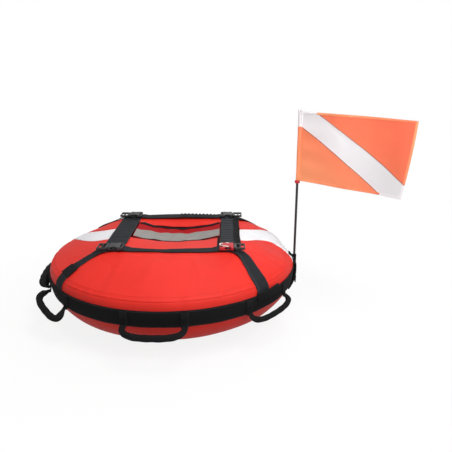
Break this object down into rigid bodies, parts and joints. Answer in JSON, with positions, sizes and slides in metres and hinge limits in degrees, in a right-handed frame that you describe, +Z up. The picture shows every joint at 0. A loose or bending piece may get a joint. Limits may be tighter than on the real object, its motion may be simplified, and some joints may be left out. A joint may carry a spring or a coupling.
{
  "type": "freediving buoy",
  "caption": "Round inflatable freediving buoy in a cloth cover, with a belt of webbing handles, a strap frame round a storage bag and a dive flag on a pole.",
  "frame": {"origin": "centre of the flat underside", "axes": "+Z up, +X towards the flag pole, -Y towards the front with the red buckle"},
  "size_m": [1.1618, 0.904, 0.6563],
  "materials": {
    "red_cloth": "coated woven cloth",
    "white_cloth": "coated woven cloth",
    "lining_cloth": "woven cloth",
    "grey_cloth": "woven cloth",
    "belt_webbing": "woven webbing",
    "strap_webbing": "woven webbing",
    "handle_webbing": "padded webbing",
    "bottom_panel": "coarse coated cloth",
    "black_plastic": "moulded, satin",
    "red_plastic": "moulded, satin",
    "bladder_skin": "smooth",
    "valve_plastic": "moulded",
    "zip_tape": "woven tape with moulded teeth",
    "steel": "polished",
    "pole_rod": "glass fibre rod",
    "pole_rubber": "moulded",
    "flag_orange": "thin woven cloth",
    "flag_white": "thin woven cloth"
  },
  "bodies": {
    "buoy": {"back_flap": "red_cloth", "band_left": "strap_webbing", "band_right": "strap_webbing", "belt": "belt_webbing", "bottom_panel": "bottom_panel", "buckle_back_left": "black_plastic", "buckle_back_right": "black_plastic", "buckle_front_left": "black_plastic", "buckle_front_right": "red_plastic", "cover_back": "red_cloth", "cover_bottom": "red_cloth", "cover_front": "red_cloth", "flap_binding": "belt_webbing", "front_flap": "red_cloth", "inner_tube": "bladder_skin", "lid_zip": "zip_tape", "pole_pocket": "belt_webbing", "pole_tie": "belt_webbing", "side_band": "red_cloth", "storage_bag": "lining_cloth", "strap_back": "strap_webbing", "strap_end_back_left": "strap_webbing", "strap_end_back_right": "strap_webbing", "strap_end_front_left": "strap_webbing", "strap_end_front_right": "strap_webbing", "strap_front": "strap_webbing", "strap_patch_back": "belt_webbing", "strap_patch_front": "belt_webbing", "strap_tail": "belt_webbing", "stripe_left": "white_cloth", "stripe_right": "white_cloth", "tow_loop": "belt_webbing", "valve_body": "valve_plastic", "valve_port": "black_plastic"},
    "lid": {"lid": "lining_cloth", "lid_stripe": "grey_cloth"},
    "zip_slider": {"zip_slider": "steel"},
    "buckle_prongs_front_left": {"buckle_prongs_front_left": "black_plastic"},
    "buckle_prongs_front_right": {"buckle_prongs_front_right": "black_plastic"},
    "buckle_prongs_back_left": {"buckle_prongs_back_left": "black_plastic"},
    "buckle_prongs_back_right": {"buckle_prongs_back_right": "black_plastic"},
    "handle_front": {"handle_front": "handle_webbing"},
    "handle_front_left": {"handle_front_left": "handle_webbing"},
    "handle_left": {"handle_left": "handle_webbing"},
    "handle_back_left": {"handle_back_left": "handle_webbing"},
    "handle_back": {"handle_back": "handle_webbing"},
    "handle_back_right": {"handle_back_right": "handle_webbing"},
    "handle_front_right": {"handle_front_right": "handle_webbing"},
    "tow_ring": {"tow_ring": "steel"},
    "pole": {"pole": "pole_rod", "pole_boot": "pole_rubber", "pole_cap": "pole_rubber", "flag_stopper": "red_plastic"},
    "flag": {"flag_sleeve": "flag_orange", "flag_fly_panel": "flag_orange", "flag_stripe": "flag_white", "flag_hoist_panel": "flag_orange"},
    "valve_cap": {"valve_cap": "black_plastic"}
  },
  "joints": [
    {"name": "lid_hinge", "type": "hinge", "parent": "buoy", "child": "lid", "pos_m": [0.012, -0.0321, 0.2515], "axis": [1, 0, 0], "range_deg": [0, 100]},
    {"name": "zip_travel", "type": "hinge", "parent": "buoy", "child": "zip_slider", "pos_m": [0.012, 0.1242, 0.66609], "axis": [0, 1, 0], "range_deg": [-33, 0]},
    {"name": "buckle_front_left_release", "type": "slide", "parent": "buoy", "child": "buckle_prongs_front_left", "axis": [-1, 0, 0], "range_m": [0, 0.034]},
    {"name": "buckle_front_right_release", "type": "slide", "parent": "buoy", "child": "buckle_prongs_front_right", "axis": [1, 0, 0], "range_m": [0, 0.034]},
    {"name": "buckle_back_left_release", "type": "slide", "parent": "buoy", "child": "buckle_prongs_back_left", "axis": [-1, 0, 0], "range_m": [0, 0.034]},
    {"name": "buckle_back_right_release", "type": "slide", "parent": "buoy", "child": "buckle_prongs_back_right", "axis": [1, 0, 0], "range_m": [0, 0.034]},
    {"name": "handle_front_swing", "type": "hinge", "parent": "buoy", "child": "handle_front", "pos_m": [-0.01678, -0.4004, 0.115], "axis": [-0.9991, 0.0419, 0], "range_deg": [-65, 77], "stiffness_Nm_per_rad": 0.6},
    {"name": "handle_front_left_swing", "type": "hinge", "parent": "buoy", "child": "handle_front_left", "pos_m": [-0.33175, -0.228, 0.115], "axis": [-0.5664, 0.8241, 0], "range_deg": [-53, 89], "stiffness_Nm_per_rad": 0.6},
    {"name": "handle_left_swing", "type": "hinge", "parent": "buoy", "child": "handle_left", "pos_m": [-0.39797, -0.05593, 0.115], "axis": [-0.1392, 0.9903, 0], "range_deg": [-130, 12], "stiffness_Nm_per_rad": 0.6},
    {"name": "handle_back_left_swing", "type": "hinge", "parent": "buoy", "child": "handle_back_left", "pos_m": [-0.3177, 0.24378, 0.115], "axis": [0.6088, 0.7934, 0], "range_deg": [-65, 77], "stiffness_Nm_per_rad": 0.6},
    {"name": "handle_back_swing", "type": "hinge", "parent": "buoy", "child": "handle_back", "pos_m": [-0.02097, 0.4002, 0.115], "axis": [0.9986, 0.0523, 0], "range_deg": [-65, 77], "stiffness_Nm_per_rad": 0.6},
    {"name": "handle_back_right_swing", "type": "hinge", "parent": "buoy", "child": "handle_back_right", "pos_m": [0.29992, 0.26535, 0.115], "axis": [0.6626, -0.749, 0], "range_deg": [-65, 77], "stiffness_Nm_per_rad": 0.6},
    {"name": "handle_front_right_swing", "type": "hinge", "parent": "buoy", "child": "handle_front_right", "pos_m": [0.309, -0.25472, 0.115], "axis": [-0.6361, -0.7716, 0], "range_deg": [-43, 99], "stiffness_Nm_per_rad": 0.6},
    {"name": "tow_ring_swing", "type": "hinge", "parent": "buoy", "child": "tow_ring", "pos_m": [0.15965, 0.37612, 0.11], "axis": [0.9205, -0.3907, 0], "range_deg": [-20, 120]},
    {"name": "pole_lift", "type": "slide", "parent": "buoy", "child": "pole", "axis": [0, 0, 1], "range_m": [0, 0.06]},
    {"name": "flag_turn", "type": "hinge", "parent": "pole", "child": "flag", "pos_m": [0.41011, 0.02006, 0.536], "axis": [0, 0, 1], "continuous": true},
    {"name": "valve_cap_turn", "type": "hinge", "parent": "buoy", "child": "valve_cap", "pos_m": [-0.16901, 0.31786, 0.06], "axis": [-0.3209, 0.6035, -0.73], "range_deg": [0, 330]}
  ]
}
